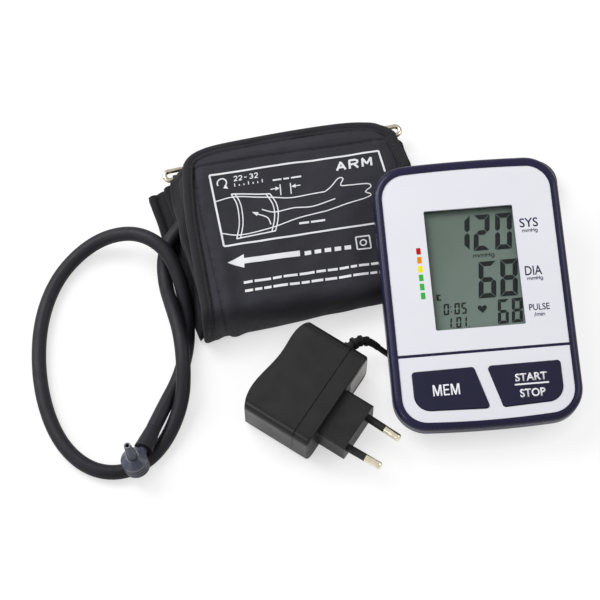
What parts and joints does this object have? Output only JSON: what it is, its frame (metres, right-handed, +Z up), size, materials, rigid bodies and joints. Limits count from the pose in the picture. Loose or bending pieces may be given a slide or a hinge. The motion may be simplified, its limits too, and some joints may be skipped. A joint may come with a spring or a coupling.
{
  "type": "blood pressure monitor",
  "caption": "Tabletop blood pressure monitor with two keys and a display, a folded upper-arm cuff on an air hose, and a mains adapter with its lead.",
  "frame": {"origin": "on the table, in the middle of the footprint of the unit, the cuff and the adapter", "axes": "+Z up, +X to the unit's right, +Y away from the person who reads the display"},
  "size_m": [0.2807, 0.1924, 0.0399],
  "materials": {
    "navy_plastic": "satin",
    "white_plastic": "satin",
    "navy_key": "satin",
    "clear_lens": "polished",
    "lcd_glass": "polished",
    "pale_plastic": "satin",
    "circuit_board": "satin",
    "black_component": "matte",
    "steel": "satin",
    "black_rubber": "matte",
    "pale_rubber": "matte",
    "cell_jacket": "gloss",
    "black_plastic": "gloss",
    "plated_brass": "polished",
    "silver_label": "satin",
    "transformer_iron": "matte",
    "cuff_cloth": "woven",
    "cuff_tape": "woven",
    "bladder_rubber": "matte",
    "ring_wire": "polished",
    "hose_rubber": "matte",
    "tinted_plastic": "gloss",
    "lead_jacket": "satin",
    "tie_tape": "satin"
  },
  "bodies": {
    "root": {"upper_case": "navy_plastic", "lower_case": "navy_plastic", "display_plate": "white_plastic", "key_plate": "white_plastic", "window_lens": "clear_lens", "lcd_cell": "lcd_glass", "lcd_frame": "pale_plastic", "pump_head": "pale_plastic", "valve_body": "pale_plastic", "air_manifold": "pale_plastic", "main_board": "circuit_board", "adapter_board": "circuit_board", "controller_chip": "black_component", "pressure_sensor": "black_component", "buzzer": "black_component", "adapter_capacitor": "black_component", "board_screws": "steel", "case_screws": "steel", "battery_springs": "steel", "battery_contact_plates": "steel", "pump_motor": "steel", "rubber_feet": "black_rubber", "lcd_connector": "black_rubber", "strain_relief": "black_rubber", "mem_dome": "pale_rubber", "start_stop_dome": "pale_rubber", "pump_diaphragm": "pale_rubber", "air_tubes": "pale_rubber", "batteries": "cell_jacket", "air_socket": "black_plastic", "power_jack": "black_plastic", "dc_plug_grip": "black_plastic", "adapter_housing": "black_plastic", "adapter_cap": "black_plastic", "pin_sleeves": "black_plastic", "plug_pins": "plated_brass", "dc_plug_barrel": "plated_brass", "adapter_label": "silver_label", "transformer": "transformer_iron", "cuff_flap": "cuff_cloth", "cuff_upper_layer": "cuff_cloth", "cuff_lining": "cuff_cloth", "cuff_second_layer": "cuff_cloth", "cuff_lower_layer": "cuff_cloth", "cuff_binding": "cuff_tape", "cuff_bladder": "bladder_rubber", "air_hose": "hose_rubber", "hose_end": "hose_rubber", "air_plug": "tinted_plastic", "bladder_port": "tinted_plastic", "adapter_lead": "lead_jacket", "lead_hank": "lead_jacket", "lead_tail": "lead_jacket", "hank_tie": "tie_tape"},
    "mem_key": {"mem_button": "navy_key"},
    "start_stop_key": {"start_stop_button": "navy_key"},
    "battery_door": {"battery_door": "navy_plastic"},
    "pump_eccentric": {"pump_eccentric": "steel"},
    "valve_plunger": {"valve_plunger": "steel"},
    "cuff_ring": {"cuff_ring": "ring_wire"}
  },
  "joints": [
    {"name": "mem_press", "type": "slide", "parent": "root", "child": "mem_key", "axis": [0, 0.1271, -0.9919], "range_m": [0, 0.0008], "stiffness_N_per_m": 900, "deforming": ["mem_dome"]},
    {"name": "start_stop_press", "type": "slide", "parent": "root", "child": "start_stop_key", "axis": [0, 0.1271, -0.9919], "range_m": [0, 0.0008], "stiffness_N_per_m": 900, "deforming": ["start_stop_dome"]},
    {"name": "battery_door_slide", "type": "slide", "parent": "root", "child": "battery_door", "axis": [1, 0, 0], "range_m": [0, 0.05]},
    {"name": "pump_spin", "type": "hinge", "parent": "root", "child": "pump_eccentric", "pos_m": [0.0573, 0.0294, 0.019], "axis": [1, 0, 0], "continuous": true},
    {"name": "valve_slide", "type": "slide", "parent": "root", "child": "valve_plunger", "axis": [-1, 0, 0], "range_m": [0, 0.0008], "stiffness_N_per_m": 300},
    {"name": "cuff_ring_swing", "type": "hinge", "parent": "root", "child": "cuff_ring", "pos_m": [-0.03265, 0.07955, 0.0114], "axis": [0.9881, 0.1493, -0.0359], "range_deg": [-8, 8]}
  ]
}
